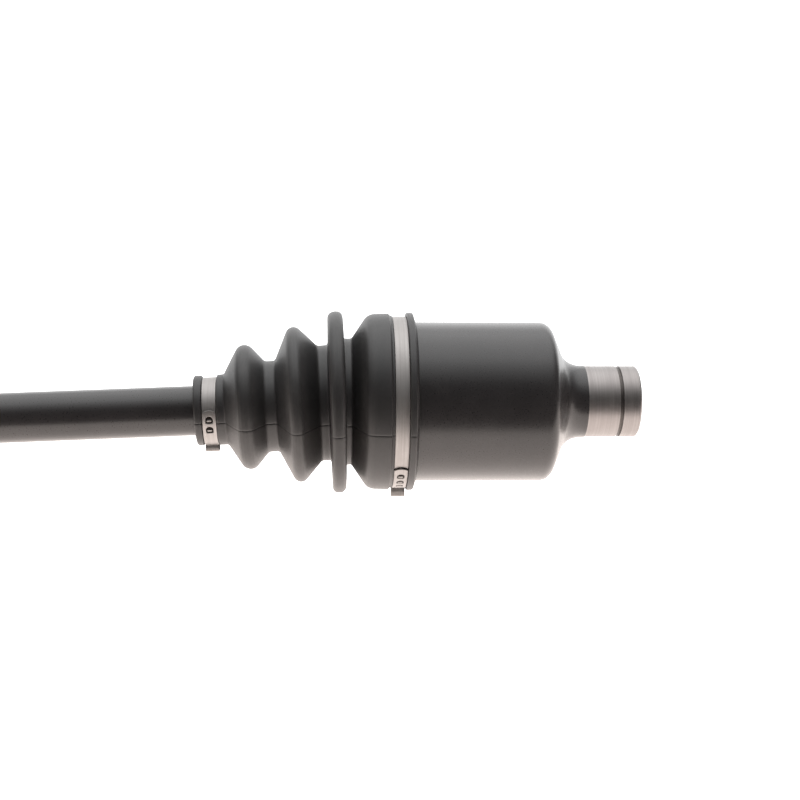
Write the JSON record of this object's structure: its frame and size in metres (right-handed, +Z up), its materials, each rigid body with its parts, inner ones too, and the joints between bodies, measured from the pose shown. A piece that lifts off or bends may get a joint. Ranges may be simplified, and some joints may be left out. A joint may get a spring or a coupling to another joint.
{
  "type": "cv axle",
  "caption": "Drive half shaft: a steel bar with a plunging ball joint at one end and a fixed ball joint at the other, each under a clamped rubber boot.",
  "frame": {"origin": "middle of the gearbox side stub's bearing journal, on its axis", "axes": "+X along the inner housing's axis, out through its stub; +Z up; the bar runs towards -X"},
  "size_m": [0.63, 0.0936, 0.112],
  "materials": {
    "bar_black": "satin black paint on a rolled bar",
    "housing_black": "satin black paint, with the stub ground bright",
    "boot_rubber": "matt moulded rubber",
    "stainless_band": "rolled stainless strip",
    "ground_steel": "hardened and ground",
    "ball_steel": "polished bearing steel",
    "spring_steel": "phosphated spring steel"
  },
  "bodies": {
    "shaft": {"shaft_bar": "bar_black", "inner_race": "ground_steel", "inner_race_circlip": "spring_steel", "inner_small_clamp": "stainless_band", "outer_race": "ground_steel", "outer_race_circlip": "spring_steel", "outer_small_clamp": "stainless_band"},
    "inner_cage": {"inner_cage": "ground_steel", "inner_ball_1": "ball_steel", "inner_ball_2": "ball_steel", "inner_ball_3": "ball_steel", "inner_ball_4": "ball_steel", "inner_ball_5": "ball_steel", "inner_ball_6": "ball_steel"},
    "inner_boot": {"inner_boot": "boot_rubber"},
    "inner_housing": {"inner_housing": "housing_black", "inner_stop_ring": "spring_steel", "inner_large_clamp": "stainless_band"},
    "outer_cage": {"outer_cage": "ground_steel", "outer_ball_1": "ball_steel", "outer_ball_2": "ball_steel", "outer_ball_3": "ball_steel", "outer_ball_4": "ball_steel", "outer_ball_5": "ball_steel", "outer_ball_6": "ball_steel"},
    "outer_housing": {"outer_housing": "housing_black", "outer_boot": "boot_rubber", "outer_large_clamp": "stainless_band"}
  },
  "joints": [
    {"name": "inner_cage_tilt", "type": "hinge", "parent": "shaft", "child": "inner_cage", "pos_m": [-0.08506, 0, -0.00011], "axis": [0, 1, 0], "range_deg": [-11.09, 8.91]},
    {"name": "inner_bend", "type": "hinge", "parent": "inner_cage", "child": "inner_boot", "pos_m": [-0.07906, 0, 0], "axis": [0, 1, 0], "range_deg": [-11.09, 8.91], "deforming": ["inner_boot"]},
    {"name": "inner_plunge", "type": "slide", "parent": "inner_boot", "child": "inner_housing", "axis": [1, 0, 0], "range_m": [-0.018, 0.011]},
    {"name": "outer_bend", "type": "hinge", "parent": "shaft", "child": "outer_housing", "pos_m": [-0.48177, 0, -0.01522], "axis": [-0.038, 0, 0.9993], "range_deg": [-45, 45], "deforming": ["outer_boot"]},
    {"name": "outer_cage_tilt", "type": "hinge", "parent": "shaft", "child": "outer_cage", "pos_m": [-0.48177, 0, -0.01522], "axis": [-0.038, 0, 0.9993], "range_deg": [-22.5, 22.5]}
  ],
  "couplings": [
    {"joint": "inner_cage_tilt", "follows": "inner_bend", "ratio": 1},
    {"joint": "outer_cage_tilt", "follows": "outer_bend", "ratio": 0.5}
  ]
}
